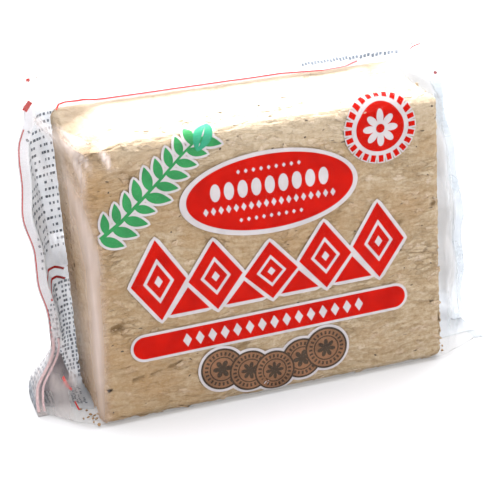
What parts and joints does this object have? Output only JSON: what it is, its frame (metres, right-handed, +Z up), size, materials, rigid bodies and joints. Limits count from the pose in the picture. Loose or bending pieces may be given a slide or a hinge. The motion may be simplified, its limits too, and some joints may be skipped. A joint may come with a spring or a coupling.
{
  "type": "halva pack",
  "caption": "Brick of flaky sunflower halva sealed in a clear printed flow-wrap film, standing on its long narrow side, with an upright crimped seal at each end.",
  "frame": {"origin": "centre of the block's base, on the surface that the pack stands on", "axes": "+X along the pack from one end seal to the other, +Y from the printed front panel to the rear panel, +Z up"},
  "size_m": [0.1606, 0.0393, 0.1145],
  "materials": {
    "film_over_halva": "glossy clear film over beige flaky halva",
    "clear_film": "thin glossy clear wrapping film with soft creases",
    "halva": "matte flaky halva with pale flakes and dark husk specks",
    "pale_print": "opaque white ink under glossy film",
    "red_print": "opaque red ink under glossy film",
    "green_print": "opaque green ink under glossy film",
    "bronze_print": "bronze-coloured ink under glossy film",
    "grey_print": "dark grey ink under glossy film"
  },
  "bodies": {
    "root": {"halva_pack": "film_over_halva"}
  },
  "joints": []
}
